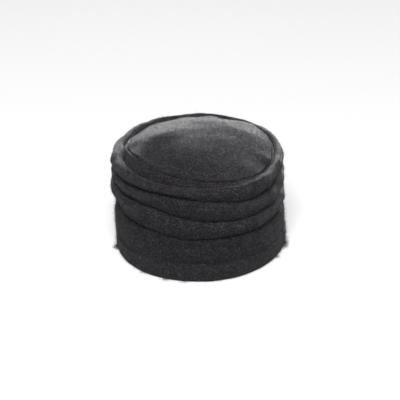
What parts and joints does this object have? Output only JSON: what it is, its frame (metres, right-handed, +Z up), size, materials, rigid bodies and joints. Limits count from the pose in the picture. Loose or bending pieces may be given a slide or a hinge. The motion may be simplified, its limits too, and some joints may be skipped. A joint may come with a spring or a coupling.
{
  "type": "felt hat",
  "caption": "Brimless oval felt hat with a softly domed tip, a side of overlapping soft tucks and a turned-up hem.",
  "frame": {"origin": "centre of the oval on the surface that the hem stands on", "axes": "+Z up through the tip, -Y towards the wearer's face, +X towards the wearer's left"},
  "size_m": [0.179, 0.202, 0.1187],
  "materials": {
    "smooth_felt": "charcoal heather boiled wool felt with a short nap",
    "brushed_felt": "darker charcoal heather wool felt, brushed to a longer, fuzzier nap"
  },
  "bodies": {
    "root": {"tip": "smooth_felt", "tucked_side": "smooth_felt", "head_band": "brushed_felt"}
  },
  "joints": []
}
